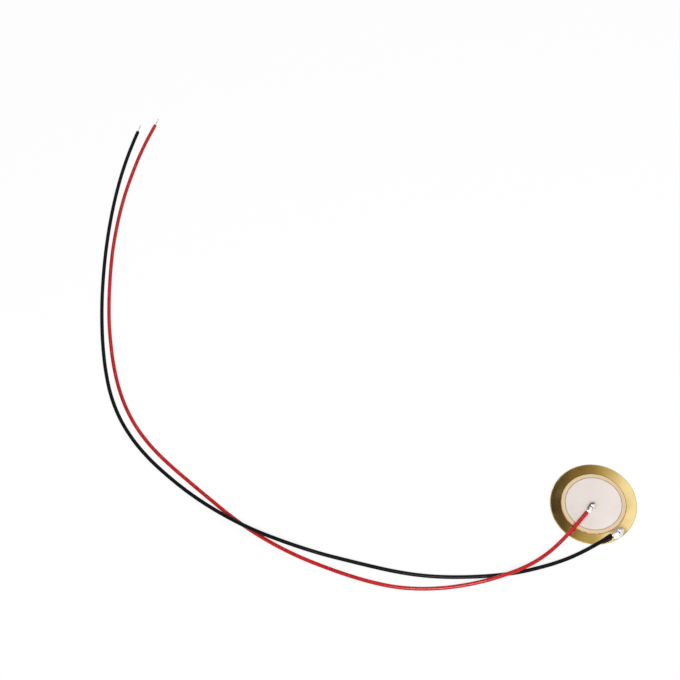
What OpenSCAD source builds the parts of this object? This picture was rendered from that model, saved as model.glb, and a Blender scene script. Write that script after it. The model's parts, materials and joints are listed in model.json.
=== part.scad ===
// Piezo disc with two soldered leads. Millimetres, +Z up.
// The origin is the centre of the brass plate's underside, on the surface that the disc lies on.
// The red lead is soldered to the middle of the upper electrode and the black lead to the
// brass margin. Both leads lie along that surface to their tinned ends.

/* [Brass plate] */
// Diameter of the punched brass plate
plate_d = 27; // [26.6:0.1:28]
// Thickness of the brass plate
plate_t = 0.3; // [0.2:0.02:0.34]
// Radius that the punch rolls onto the plate's upper edge
plate_edge_r = 0.06; // [0.02:0.01:0.12]

/* [Ceramic stack] */
// Diameter of the ceramic disc
ceramic_d = 20; // [19.4:0.1:20.4]
// Thickness of the ceramic disc
ceramic_t = 0.2; // [0.14:0.01:0.22]
// Thickness of the adhesive film under the stack
bond_t = 0.02; // [0.01:0.01:0.04]
// Radius of the adhesive's hollow fillet round the ceramic
bond_fillet_r = 0.2; // [0.1:0.02:0.2]
// Thickness of each fired silver electrode
electrode_t = 0.01; // [0.01:0.01:0.02]
// Bare ceramic left round the upper electrode
electrode_margin = 1.1; // [0.7:0.1:1.5]

/* [Solder joints] */
// Height of each joint above what it is soldered to
joint_h = 1.2; // [1.1:0.05:1.4]
// Thickness of the wetted foot at a joint's outline
joint_foot_t = 0.03; // [0.02:0.01:0.06]
// Half width of the centre joint
centre_joint_half_w = 1.35; // [1.2:0.05:1.5]
// Reach of the centre joint from its middle towards its lead
centre_joint_nose = 2.2; // [2:0.1:2.4]
// Reach of the centre joint away from its lead
centre_joint_back = 1.7; // [1.5:0.1:1.9]
// Reach of the rim joint from its middle towards its lead
rim_joint_nose = 2.4; // [2.2:0.1:2.5]
// Reach of the rim joint away from its lead
rim_joint_back = 2.2; // [1.9:0.1:2.4]
// Where the rim joint sits round the plate, in degrees from +X
rim_joint_angle = -54; // [-56:1:-52]
// How far the rim joint is turned from the line of the plate's edge
rim_joint_turn = 14; // [8:1:18]
// Brass left between the rim joint and the plate's edge
rim_joint_inset = 0.15; // [0.1:0.05:0.3]
// Brass left between the rim joint and the ceramic
rim_joint_gap = 0.55; // [0.45:0.05:0.8]
// Length of solder drawn along the strands beyond a joint's outline
collar_l = 0.3; // [0.2:0.05:0.5]
// Thickness of that solder where it leaves the middle of the joint
collar_wall = 0.2; // [0.12:0.02:0.24]
// Bare strands left between the solder and the cut insulation
bare_gap = 0.4; // [0.2:0.05:0.6]

/* [Leads] */
// Outer diameter of the insulation
lead_d = 1.2; // [1:0.05:1.25]
// Diameter of one strand of the conductor
strand_d = 0.13; // [0.1:0.01:0.16]
// Length along the conductor of one full turn of its strands
strand_lay = 5; // [4:0.5:9]
// How far the strands run past the middle of a joint
strand_reach = 0.6; // [0.4:0.1:0.7]
// Diameter of a tinned free end
tinned_d = 0.36; // [0.3:0.02:0.46]
// Length of bare conductor at a free end
tinned_l = 3; // [2:0.5:5]

/* [Hidden] */
$fn = 96;

// Levels of the stack, from the surface up
bond_z = plate_t;
bottom_electrode_z = bond_z + bond_t;
ceramic_z = bottom_electrode_z + electrode_t;
top_electrode_z = ceramic_z + ceramic_t;
stack_top_z = top_electrode_z + electrode_t;

plate_r = plate_d / 2;
ceramic_r = ceramic_d / 2;
top_electrode_r = ceramic_r - electrode_margin;

// Route of each lead, from its joint to its free end: x, y and the height of its underside
red_route = [
    [-2.4, -3.2, 0.6], [-5.2, -6.5, 0.6], [-8, -9.7, 0.6], [-11.2, -13.1, 0.7],
    [-15, -16.6, 0.95], [-19.3, -19.7, 1.25], [-24, -22.2, 1.45], [-29.2, -24.2, 1.4],
    [-34.8, -25.8, 1], [-41, -27, 0.45], [-47.8, -27.8, 0.1], [-55, -28, 0],
    [-62.2, -27.4, 0], [-69.5, -25.8, 0], [-76.8, -23.5, 0], [-84, -20.8, 0],
    [-91.2, -17.7, 0], [-98.3, -14, 0], [-105.4, -9.6, 0], [-112.4, -4.4, 0],
    [-119.2, 1.4, 0], [-125.9, 7.3, 0], [-132.4, 13.2, 0], [-138.3, 19.3, 0],
    [-143.3, 25.9, 0], [-147.2, 33, 0], [-150.1, 40.5, 0], [-152.2, 48.3, 0],
    [-153.7, 56.4, 0], [-154.8, 64.8, 0], [-155.4, 73.5, 0], [-155.6, 82.4, 0],
    [-155.5, 91.1, 0], [-154.9, 99.6, 0], [-153.9, 108, 0], [-152.5, 116.1, 0],
    [-150.7, 123.8, 0], [-148.7, 131.1, 0], [-146.4, 138, 0], [-143.9, 144.4, 0]
];
black_course = [
    [4.4, -11.1, 0.35], [0.4, -13.4, 0.35], [-3.5, -15.6, 0.3], [-8.3, -17.9, 0.15],
    [-13.1, -19.7, 0.03], [-18.5, -21.3, 0], [-24.5, -22.7, 0], [-31.5, -23.7, 0],
    [-39.5, -24.2, 0], [-47.5, -24.2, 0], [-55, -23.6, 0], [-62.2, -22.4, 0],
    [-69.5, -20.7, 0], [-76.8, -18.8, 0], [-84, -16.9, 0.2], [-91.2, -14.8, 0.85],
    [-98.4, -12.3, 1.35], [-105.5, -9.3, 1.4], [-112.5, -5.7, 1.35], [-119.4, -1.3, 0.85],
    [-126.2, 3.8, 0.2], [-132.8, 9.4, 0], [-139.1, 15.5, 0], [-144.6, 22.2, 0],
    [-149.1, 29.6, 0], [-152.4, 37.6, 0], [-154.6, 46, 0], [-156.1, 54.7, 0],
    [-157.1, 63.6, 0], [-157.7, 72.6, 0], [-157.9, 81.5, 0], [-157.8, 90.3, 0],
    [-157.4, 98.9, 0], [-156.7, 107.3, 0], [-155.7, 115.5, 0], [-154.4, 123.4, 0],
    [-152.8, 130.8, 0], [-151.2, 136.9, 0], [-149.8, 141.6, 0]
];
rings_per_span = 2;
lead_sides = 8;

// A lead's tube is flat underneath, and its flats are at the insulation's radius
ring_r = lead_d / 2 / cos(180 / lead_sides);

// Seven strands, one in the middle, overlapping a little where they press together
outer_strands = 6;
strand_pitch_r = strand_d * 0.97;
conductor_r = strand_pitch_r + strand_d / 2;
strand_sides = 8;
strand_slices_per_mm = 2;

joint_sides = 40;
joint_rings = 10;
// Over 1, the joint's dome is fuller than a plain bell
joint_fullness = 1.4;

centre_joint_at = joint_middle(red_route, centre_joint_nose);

// The rim joint fills the brass margin, between the ceramic and the plate's edge
rim_joint_half_w = (plate_r - rim_joint_inset - ceramic_r - rim_joint_gap) / 2;
rim_joint_at = on_plate(plate_r - rim_joint_inset - rim_joint_half_w, rim_joint_angle);

// The black lead's course is drawn from a joint at this place. Where the joint moves, the
// lead's first points go with it, each by less than the one before.
course_joint_at = on_plate(11.95, -54);
course_follows = 6;
black_route = [
    for (i = [0:len(black_course) - 1])
        let (moved = max(0, 1 - i / course_follows) * (rim_joint_at - course_joint_at))
        black_course[i] + [moved.x, moved.y, 0]
];

// ---- Places along a lead ----

function on_plate(r, a) = r * [cos(a), sin(a)];
function unit(v) = v / norm(v);
function flat(p) = [p.x, p.y];

// The lead's axis, which lies half a diameter above its underside
function axis_points(route) = [for (p = route) [p.x, p.y, p.z + lead_d / 2]];

// The direction in which a lead leaves its joint, and in which its free end points
function start_heading(route) = heading(flat(route[1]) - flat(route[0]));
function end_heading(route) =
    heading(flat(route[len(route) - 1]) - flat(route[len(route) - 2]));
function heading(v) = atan2(v.y, v.x);

// The middle of a joint that lies straight behind a lead's start
function joint_middle(route, nose) =
    flat(route[0]) - (nose + collar_l + bare_gap) * unit(flat(route[1]) - flat(route[0]));

// The four points that shape the span after point i, with the ends repeated
function span(p, i) =
    [p[max(i - 1, 0)], p[i], p[min(i + 1, len(p) - 1)], p[min(i + 2, len(p) - 1)]];

// A smooth curve through all the points, and its direction, at t from 0 to 1 along a span
function on_curve(q, t) =
    0.5 * (2 * q[1] + (q[2] - q[0]) * t
        + (2 * q[0] - 5 * q[1] + 4 * q[2] - q[3]) * t ^ 2
        + (3 * q[1] - q[0] - 3 * q[2] + q[3]) * t ^ 3);
function above_surface(p) = [p.x, p.y, max(p.z, lead_d / 2)];
function curve_direction(q, t) =
    unit((q[2] - q[0])
        + 2 * (2 * q[0] - 5 * q[1] + 4 * q[2] - q[3]) * t
        + 3 * (3 * q[1] - q[0] - 3 * q[2] + q[3]) * t ^ 2);

// One ring of the tube, square to the direction of travel, with a flat side underneath
function tube_ring(centre, travel) =
    let (side = unit(cross(travel, [0, 0, 1])), up = cross(side, travel))
    [
        for (k = [0:lead_sides - 1])
            let (a = (k + 0.5) * 360 / lead_sides)
            centre + ring_r * (cos(a) * side + sin(a) * up)
    ];

function tube_rings(p) = [
    for (i = [0:len(p) - 1])
        for (s = [0:(i < len(p) - 1 ? rings_per_span : 1) - 1])
            let (
                last = i == len(p) - 1,
                q = last ? span(p, i - 1) : span(p, i),
                t = last ? 1 : s / rings_per_span
            )
            tube_ring(above_surface(on_curve(q, t)), curve_direction(q, t))
];

// Walls between rings of n points each: two triangles for each side of each band
function band_faces(bands, n) = [
    for (j = [0:bands - 1])
        for (k = [0:n - 1])
            let (
                a = j * n + k,
                b = j * n + (k + 1) % n,
                c = b + n,
                d = a + n
            )
            each [[a, b, c], [a, c, d]]
];

module lead_tube(route) {
    rings = tube_rings(axis_points(route));
    n = lead_sides;
    last = (len(rings) - 1) * n;
    polyhedron(
        points = [for (r = rings) each r],
        faces = concat(
            [[for (k = [n - 1:-1:0]) k]],
            band_faces(len(rings) - 1, n),
            [[for (k = [0:n - 1]) last + k]]
        )
    );
}

// ---- Conductor ----

// Puts its children at a lead's end, with +X along the axis and out of the insulation
module at_lead_start(route) {
    p = axis_points(route)[0];
    translate(p) rotate(start_heading(route) + 180) children();
}
module at_lead_end(route) {
    p = axis_points(route)[len(route) - 1];
    translate(p) rotate(end_heading(route)) children();
}

// Bare twisted strands along +X
module strand_bundle(length) {
    rotate([0, 90, 0])
        linear_extrude(
            height = length,
            twist = 360 * length / strand_lay,
            slices = ceil(length * strand_slices_per_mm),
            $fn = strand_sides
        ) {
            circle(r = strand_pitch_r, $fn = outer_strands);
            for (i = [0:outer_strands - 1])
                rotate(i * 360 / outer_strands)
                    translate([strand_pitch_r, 0]) circle(d = strand_d);
        }
}

// Bare conductor from a lead's cut insulation to just past the middle of its joint
module joint_strands(route, middle) {
    length = norm(flat(route[0]) - middle) + strand_reach;
    at_lead_start(route) strand_bundle(length);
}

// A tinned end: the strands are drawn into one round rod with a rounded tip
module tinned_end(route) {
    tip_r = tinned_d / 2;
    at_lead_end(route) {
        rotate([0, 90, 0]) cylinder(r = tip_r, h = tinned_l - tip_r);
        translate([tinned_l - tip_r, 0, 0]) sphere(r = tip_r);
    }
}

// ---- Solder ----

// Outline of a joint round its middle: an ellipse on each side, longer towards the lead at +X
function joint_reach(a, nose, back, half_w) =
    1 / norm([cos(a) / (cos(a) > 0 ? nose : back), sin(a) / half_w]);

// Height of a joint's surface at a share s of the way out to its outline
function joint_height(s) =
    joint_foot_t + (joint_h - joint_foot_t) * (1 + cos(180 * s ^ joint_fullness)) / 2;

// The drop of solder: a round dome that spreads into a thin, hollow-sided foot
module solder_drop(nose, back, half_w) {
    n = joint_sides;
    shares = [for (j = [0:joint_rings - 1]) 1 - j / joint_rings];
    function ring(s, z) = [
        for (k = [0:n - 1])
            let (a = k * 360 / n, r = s * joint_reach(a, nose, back, half_w))
            [r * cos(a), r * sin(a), z]
    ];
    points = concat(
        ring(1, 0),
        [for (s = shares) each ring(s, joint_height(s))],
        [[0, 0, joint_h]]
    );
    top = (joint_rings + 1) * n;
    polyhedron(
        points = points,
        faces = concat(
            [[for (k = [0:n - 1]) k]],
            [for (f = band_faces(joint_rings, n)) [f[2], f[1], f[0]]],
            [for (k = [0:n - 1]) [top, top - n + (k + 1) % n, top - n + k]]
        )
    );
}

// Solder drawn along the strands, from the middle of the joint almost to the insulation
module solder_collar(route, middle) {
    reach = norm(flat(route[0]) - middle);
    at_lead_start(route)
        translate([bare_gap, 0, 0]) rotate([0, 90, 0])
            cylinder(
                r1 = conductor_r + collar_wall / 4,
                r2 = conductor_r + collar_wall,
                h = reach - bare_gap,
                $fn = 24
            );
}

// A whole joint on a face at height z, with the strands' own space left in it
module solder_joint(route, middle, z, nose, back, half_w, turn) {
    difference() {
        union() {
            translate([middle.x, middle.y, z]) rotate(turn) solder_drop(nose, back, half_w);
            solder_collar(route, middle);
        }
        joint_strands(route, middle);
    }
}

// ---- Nodes ----

module brass_plate() {
    color("#d9b45a")
        rotate_extrude() {
            square([plate_r - plate_edge_r, plate_t]);
            square([plate_r, plate_t - plate_edge_r]);
            intersection() {
                translate([plate_r - plate_edge_r, plate_t - plate_edge_r])
                    circle(r = plate_edge_r);
                translate([plate_r - plate_edge_r, plate_t - plate_edge_r])
                    square(plate_edge_r);
            }
        }
}

// Film under the stack, with a hollow fillet up the ceramic's edge
module bond_film() {
    color("#8a6a34")
        translate([0, 0, bond_z])
            rotate_extrude() {
                square([ceramic_r, bond_t]);
                difference() {
                    translate([ceramic_r, 0]) square(bond_fillet_r);
                    translate([ceramic_r + bond_fillet_r, bond_fillet_r])
                        circle(r = bond_fillet_r);
                }
            }
}

module bottom_electrode() {
    color("#d8d6d2")
        translate([0, 0, bottom_electrode_z]) cylinder(r = ceramic_r, h = electrode_t);
}

module ceramic_disc() {
    color("#c9b7a0")
        translate([0, 0, ceramic_z]) cylinder(r = ceramic_r, h = ceramic_t);
}

module top_electrode() {
    color("#ece6e2")
        translate([0, 0, top_electrode_z]) cylinder(r = top_electrode_r, h = electrode_t);
}

module centre_solder() {
    color("#d4d4d8")
        solder_joint(
            red_route, centre_joint_at, stack_top_z,
            centre_joint_nose, centre_joint_back, centre_joint_half_w, start_heading(red_route)
        );
}

// The rim joint lies along the margin, turned a little towards the middle at its far end
module rim_solder() {
    color("#d4d4d8")
        solder_joint(
            black_route, rim_joint_at, plate_t,
            rim_joint_nose, rim_joint_back, rim_joint_half_w,
            rim_joint_angle - 90 + rim_joint_turn
        );
}

module red_lead() {
    color("#c81e24") lead_tube(red_route);
}

module red_strands() {
    color("#c9c6c0") joint_strands(red_route, centre_joint_at);
}

module red_tinned_end() {
    color("#d2d0cc") tinned_end(red_route);
}

module black_lead() {
    color("#151518") lead_tube(black_route);
}

module black_strands() {
    color("#c9c6c0") joint_strands(black_route, rim_joint_at);
}

module black_tinned_end() {
    color("#d2d0cc") tinned_end(black_route);
}

brass_plate();
bond_film();
bottom_electrode();
ceramic_disc();
top_electrode();
centre_solder();
rim_solder();
red_lead();
red_strands();
red_tinned_end();
black_lead();
black_strands();
black_tinned_end();
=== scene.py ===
"""Dresses a brass piezo disc and its two soldered leads, and sets up the studio round them."""

import json
import logging
import math
from collections.abc import Mapping, Sequence
from dataclasses import dataclass
from enum import Enum

import bmesh
import bpy
from bmesh.types import BMesh
from bpy.types import Curve, Material, Mesh, Node, NodeSocket, NodeTree, Object
from mathutils import Matrix, Vector, noise
from mathutils.geometry import interpolate_bezier

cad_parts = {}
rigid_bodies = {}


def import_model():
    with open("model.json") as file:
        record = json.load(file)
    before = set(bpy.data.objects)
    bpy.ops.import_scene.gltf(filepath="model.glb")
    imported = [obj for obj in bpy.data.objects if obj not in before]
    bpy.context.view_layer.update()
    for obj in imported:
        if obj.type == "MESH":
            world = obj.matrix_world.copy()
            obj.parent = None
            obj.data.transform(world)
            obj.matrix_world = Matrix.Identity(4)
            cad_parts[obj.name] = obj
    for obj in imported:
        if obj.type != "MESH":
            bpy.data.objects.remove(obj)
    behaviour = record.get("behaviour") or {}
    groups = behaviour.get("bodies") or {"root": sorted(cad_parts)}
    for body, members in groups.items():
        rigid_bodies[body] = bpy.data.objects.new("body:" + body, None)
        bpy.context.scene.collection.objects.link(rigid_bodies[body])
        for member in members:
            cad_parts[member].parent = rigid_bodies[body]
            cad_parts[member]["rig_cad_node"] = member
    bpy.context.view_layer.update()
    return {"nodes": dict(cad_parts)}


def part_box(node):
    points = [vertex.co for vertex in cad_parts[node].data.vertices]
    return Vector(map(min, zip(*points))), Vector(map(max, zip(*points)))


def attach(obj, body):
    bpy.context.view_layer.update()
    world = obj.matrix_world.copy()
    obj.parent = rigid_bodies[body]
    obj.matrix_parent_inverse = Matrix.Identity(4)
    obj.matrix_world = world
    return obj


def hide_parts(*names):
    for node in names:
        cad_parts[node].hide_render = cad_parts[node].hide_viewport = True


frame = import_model()

LOG = logging.getLogger("piezo_disc")
BODY = "root"
MM = 0.001

Point = tuple[float, float, float]
Route = tuple[Point, ...]
Colour = tuple[float, float, float]
Stop = tuple[float, Colour]
Band = tuple[float, float]

WHITE: Colour = (1.0, 1.0, 1.0)
Z_TO_X = Matrix.Rotation(math.pi / 2, 4, "Y")

# Direction across which the materials' bump bends the disc's faces slightly
BENT_ACROSS: Point = (0.966, -0.259, 0.0)

# Each joint's place: how far the centre one's middle lies behind its lead's start, and the rim
# one's distance from the axis, in metres; the rim one's heading and its skew, in degrees
CENTRE_JOINT_BEHIND = 0.0029
RIM_JOINT_R = 0.01195
RIM_JOINT_HEADING = -54.0
RIM_JOINT_SKEW = 14.0

# The rim joint's dimple: x, y and width in the joint's own frame, and height, in millimetres
RIM_DIMPLES: Route = ((0.1, 0.2, 0.34),)
DIMPLE_Z = 0.8

# Gap between a lead's swollen end and the face under it, in metres
END_GAP = 0.00002

# Route of each lead from its joint to its free end: x, y and the height of its underside, in metres
RED_ROUTE: Route = (
    (-0.0024, -0.0032, 0.0006), (-0.0052, -0.0065, 0.0006), (-0.008, -0.0097, 0.0006),
    (-0.0112, -0.0131, 0.0007), (-0.015, -0.0166, 0.00095), (-0.0193, -0.0197, 0.00125),
    (-0.024, -0.0222, 0.00145), (-0.0292, -0.0242, 0.0014), (-0.0348, -0.0258, 0.001),
    (-0.041, -0.027, 0.00045), (-0.0478, -0.0278, 0.0001), (-0.055, -0.028, 0),
    (-0.0622, -0.0274, 0), (-0.0695, -0.0258, 0), (-0.0768, -0.0235, 0),
    (-0.084, -0.0208, 0), (-0.0912, -0.0177, 0), (-0.0983, -0.014, 0),
    (-0.1054, -0.0096, 0), (-0.1124, -0.0044, 0), (-0.1192, 0.0014, 0),
    (-0.1259, 0.0073, 0), (-0.1324, 0.0132, 0), (-0.1383, 0.0193, 0),
    (-0.1433, 0.0259, 0), (-0.1472, 0.033, 0), (-0.1501, 0.0405, 0),
    (-0.1522, 0.0483, 0), (-0.1537, 0.0564, 0), (-0.1548, 0.0648, 0),
    (-0.1554, 0.0735, 0), (-0.1556, 0.0824, 0), (-0.1555, 0.0911, 0),
    (-0.1549, 0.0996, 0), (-0.1539, 0.108, 0), (-0.1525, 0.1161, 0),
    (-0.1507, 0.1238, 0), (-0.1487, 0.1311, 0), (-0.1464, 0.138, 0),
    (-0.1439, 0.1444, 0),
)

BLACK_ROUTE: Route = (
    (0.0044, -0.0111, 0.00035), (0.0004, -0.0134, 0.00035), (-0.0035, -0.0156, 0.0003),
    (-0.0083, -0.0179, 0.00015), (-0.0131, -0.0197, 0.00003), (-0.0185, -0.0213, 0),
    (-0.0245, -0.0227, 0), (-0.0315, -0.0237, 0), (-0.0395, -0.0242, 0),
    (-0.0475, -0.0242, 0), (-0.055, -0.0236, 0), (-0.0622, -0.0224, 0),
    (-0.0695, -0.0207, 0), (-0.0768, -0.0188, 0), (-0.084, -0.0169, 0.0002),
    (-0.0912, -0.0148, 0.00085), (-0.0984, -0.0123, 0.00135), (-0.1055, -0.0093, 0.0014),
    (-0.1125, -0.0057, 0.00135), (-0.1194, -0.0013, 0.00085), (-0.1262, 0.0038, 0.0002),
    (-0.1328, 0.0094, 0), (-0.1391, 0.0155, 0), (-0.1446, 0.0222, 0),
    (-0.1491, 0.0296, 0), (-0.1524, 0.0376, 0), (-0.1546, 0.046, 0),
    (-0.1561, 0.0547, 0), (-0.1571, 0.0636, 0), (-0.1577, 0.0726, 0),
    (-0.1579, 0.0815, 0), (-0.1578, 0.0903, 0), (-0.1574, 0.0989, 0),
    (-0.1567, 0.1073, 0), (-0.1557, 0.1155, 0), (-0.1544, 0.1234, 0),
    (-0.1528, 0.1308, 0), (-0.1512, 0.1369, 0), (-0.1498, 0.1416, 0),
)


class Slot(Enum):
    """The record's material slots."""

    BRASS = "brass"
    ADHESIVE = "adhesive"
    CERAMIC = "ceramic"
    SILVER = "silver"
    SOLDER = "solder"
    TINNED = "tinned_copper"
    RED = "red_insulation"
    BLACK = "black_insulation"


# ---- Node trees ----


class Graph:
    """Adds nodes to one tree and joins them."""

    def __init__(self, tree: NodeTree) -> None:
        """Starts on a tree, which may already hold nodes."""
        self.tree = tree

    def add(
        self, kind: str, inputs: Mapping[str | int, object] | None = None, **settings: object
    ) -> Node:
        """Adds one node.

        Args:
            kind: The node's Blender type name.
            inputs: Sockets or plain values for its inputs, by name or number.
            settings: Properties to set on the node.

        Returns:
            The new node.
        """
        node = self.tree.nodes.new(kind)
        for name, value in settings.items():
            setattr(node, name, value)
        for socket, value in (inputs or {}).items():
            self.put(value, node.inputs[socket])
        return node

    def put(self, source: object, target: NodeSocket) -> None:
        """Links a socket to another, or sets a plain value on it.

        Args:
            source: A socket, number, vector or colour.
            target: The input that takes it.
        """
        if isinstance(source, NodeSocket):
            self.tree.links.new(source, target)
        elif isinstance(source, tuple) and len(target.default_value) == 4:
            target.default_value = (*source, 1.0)
        else:
            target.default_value = source

    def math(self, operation: str, a: object, b: object = 0.0) -> NodeSocket:
        """Returns the result of one Math node."""
        return self.add("ShaderNodeMath", {0: a, 1: b}, operation=operation).outputs[0]

    def total(self, *parts: object) -> NodeSocket:
        """Adds values up.

        Args:
            parts: Two or more sockets or numbers.

        Returns:
            Their sum.
        """
        result, *others = parts
        for other in others:
            result = self.math("ADD", result, other)
        return result

    def vector(self, operation: str, *inputs: object) -> Mapping[str, NodeSocket]:
        """Returns both outputs of one Vector Math node, named Vector and Value."""
        node = self.add("ShaderNodeVectorMath", dict(enumerate(inputs)), operation=operation)
        return node.outputs

    def span(self, value: object, low: object, high: object) -> NodeSocket:
        """Returns value mapped smoothly from low..high to 0..1."""
        inputs = {"Value": value, "From Min": low, "From Max": high}
        return self.add("ShaderNodeMapRange", inputs, interpolation_type="SMOOTHSTEP").outputs[0]

    def scale(self, mask: object, low: float, high: float) -> NodeSocket:
        """Returns a mask of 0..1 mapped to low..high."""
        inputs = {"Value": mask, "To Min": low, "To Max": high}
        return self.add("ShaderNodeMapRange", inputs).outputs[0]

    def mix(self, factor: object, a: object, b: object) -> NodeSocket:
        """Returns colour a where factor is 0 and colour b where it is 1."""
        inputs = {"Factor": factor, 6: a, 7: b}
        return self.add("ShaderNodeMix", inputs, data_type="RGBA").outputs[2]

    def veil(self, under: object, over: Colour, mask: object, most: float) -> NodeSocket:
        """Returns a colour under another, of which at most this share shows where the mask is 1."""
        return self.mix(self.scale(mask, 0.0, most), under, over)

    def ramp(self, value: object, stops: Sequence[Stop]) -> NodeSocket:
        """Picks a colour from a ramp.

        Args:
            value: The socket that picks the place on the ramp.
            stops: Places on the ramp with their colours, in order.

        Returns:
            The colour.
        """
        node = self.add("ShaderNodeValToRGB", {"Fac": value})
        elements = node.color_ramp.elements
        while len(elements) < len(stops):
            elements.new(0.5)
        for element, (place, colour) in zip(elements, stops):
            element.position = place
            element.color = (*colour, 1.0)
        return node.outputs["Color"]

    def noise(
        self, vector: object, per_metre: object, detail: float = 2.0, roughness: float = 0.5
    ) -> NodeSocket:
        """Returns a cloudy value round 0.5, with about per_metre clouds to a metre."""
        inputs = {"Vector": vector, "Scale": per_metre, "Detail": detail, "Roughness": roughness}
        return self.add("ShaderNodeTexNoise", inputs).outputs["Fac"]

    def place(self) -> NodeSocket:
        """Returns the point on the piece, in the shared frame."""
        return self.add("ShaderNodeTexCoord").outputs["Object"]

    def group(self, tree: NodeTree, **inputs: object) -> NodeSocket:
        """Returns the one output of a shared effect, placed with its own values."""
        return self.add("ShaderNodeGroup", inputs, node_tree=tree).outputs[0]


class Effects:
    """Effects that the finishes share, each a node group that is built once."""

    def __init__(self) -> None:
        """Builds every shared effect."""
        self.grain = self._grain()
        self.clouds = self._clouds()
        self.halo = self._halo()
        self.away = self._away()
        self.ring = self._ring()
        self.bend = self._bend()
        self.specks = self._specks()

    @staticmethod
    def _start(
        name: str, output: str, vectors: Sequence[str], numbers: Sequence[str] = ()
    ) -> tuple[Graph, dict[str, NodeSocket]]:
        """Makes an empty group.

        Args:
            name: The group's name.
            output: The one output's name.
            vectors: Names of its vector inputs.
            numbers: Names of its number inputs, which come after the vectors.

        Returns:
            The group's graph, and its sockets by name, the output as "out".
        """
        tree = bpy.data.node_groups.new(name, "ShaderNodeTree")
        for kind, labels in (("NodeSocketVector", vectors), ("NodeSocketFloat", numbers)):
            for label in labels:
                tree.interface.new_socket(label, in_out="INPUT", socket_type=kind)
        tree.interface.new_socket(output, in_out="OUTPUT", socket_type="NodeSocketFloat")
        graph = Graph(tree)
        source = graph.add("NodeGroupInput")
        target = graph.add("NodeGroupOutput")
        sockets = {label: source.outputs[label] for label in (*vectors, *numbers)}
        sockets["out"] = target.inputs[output]
        return graph, sockets

    @staticmethod
    def _ragged(
        graph: Graph, io: Mapping[str, NodeSocket], per_metre: float, detail: float
    ) -> NodeSocket:
        """Returns how far a ragged edge is pushed at each point, in metres."""
        ragged = graph.noise(io["Point"], per_metre, detail)
        return graph.math("MULTIPLY", graph.math("SUBTRACT", ragged, 0.5), io["Ragged"])

    def _grain(self) -> NodeTree:
        """Builds fine lines left by rolling, drawn out along one direction.

        Returns:
            The group.
        """
        graph, io = self._start("Rolled grain", "Mask", ("Point", "Stretch"), ("Lines",))
        stretched = graph.vector("MULTIPLY", io["Point"], io["Stretch"])["Vector"]
        lines = graph.noise(stretched, io["Lines"], detail=4.0, roughness=0.65)
        graph.put(graph.span(lines, 0.32, 0.68), io["out"])
        return graph.tree

    def _clouds(self) -> NodeTree:
        """Builds soft patches, such as tarnish, thin print or a dull area.

        Returns:
            The group.
        """
        graph, io = self._start("Soft patches", "Mask", ("Point",), ("Scale", "From", "To"))
        patches = graph.noise(io["Point"], io["Scale"], detail=3.0, roughness=0.55)
        graph.put(graph.span(patches, io["From"], io["To"]), io["out"])
        return graph.tree

    def _halo(self) -> NodeTree:
        """Builds a ragged stain round a point: 1 inside, 0 past its reach.

        Returns:
            The group.
        """
        graph, io = self._start(
            "Stain round a point", "Mask", ("Point", "Centre"), ("Full", "Reach", "Ragged")
        )
        apart = graph.vector("DISTANCE", io["Point"], io["Centre"])["Value"]
        distance = graph.math("ADD", apart, self._ragged(graph, io, 900.0, detail=3.0))
        graph.put(graph.span(distance, io["Reach"], io["Full"]), io["out"])
        return graph.tree

    def _away(self) -> NodeTree:
        """Builds the distance from the disc's own axis, in metres.

        Returns:
            The group.
        """
        graph, io = self._start("Distance from the axis", "Distance", ("Point",))
        flat = graph.vector("MULTIPLY", io["Point"], (1.0, 1.0, 0.0))["Vector"]
        graph.put(graph.vector("LENGTH", flat)["Value"], io["out"])
        return graph.tree

    def _bend(self) -> NodeTree:
        """Builds the sheet's slight bend and its uneven flatness, as a height in millimetres.

        Returns:
            The group.
        """
        fall_per_square_metre, uneven_h = -2300.0, 0.25
        graph, io = self._start("Bent sheet", "Height", ("Point", "Across"))
        away = graph.vector("DOT_PRODUCT", io["Point"], io["Across"])["Value"]
        bend = graph.math("MULTIPLY", graph.math("MULTIPLY", away, away), fall_per_square_metre)
        uneven = graph.math("MULTIPLY", graph.noise(io["Point"], 60.0, detail=1.0), uneven_h)
        graph.put(graph.math("ADD", bend, uneven), io["out"])
        return graph.tree

    def _ring(self) -> NodeTree:
        """Builds a ragged line round the axis: 1 at its radius, 0 past its width on either side.

        Returns:
            The group.
        """
        graph, io = self._start(
            "Line round the axis", "Mask", ("Point",), ("Radius", "Width", "Ragged")
        )
        away = graph.group(self.away, Point=io["Point"])
        pushed = self._ragged(graph, io, 1100.0, detail=2.0)
        off = graph.math("ADD", graph.math("SUBTRACT", away, io["Radius"]), pushed)
        graph.put(graph.span(graph.math("ABSOLUTE", off), io["Width"], 0.0), io["out"])
        return graph.tree

    def _specks(self) -> NodeTree:
        """Builds small round specks or pits, some larger than others.

        Returns:
            The group.
        """
        graph, io = self._start("Specks", "Mask", ("Point",), ("Scale", "Size"))
        cells = graph.add("ShaderNodeTexVoronoi", {"Vector": io["Point"], "Scale": io["Scale"]})
        size = graph.math("MULTIPLY", cells.outputs["Color"], io["Size"])
        inside = graph.math("SUBTRACT", size, cells.outputs["Distance"])
        graph.put(graph.span(inside, 0.0, 0.06), io["out"])
        return graph.tree


# ---- Finishes ----


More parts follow.
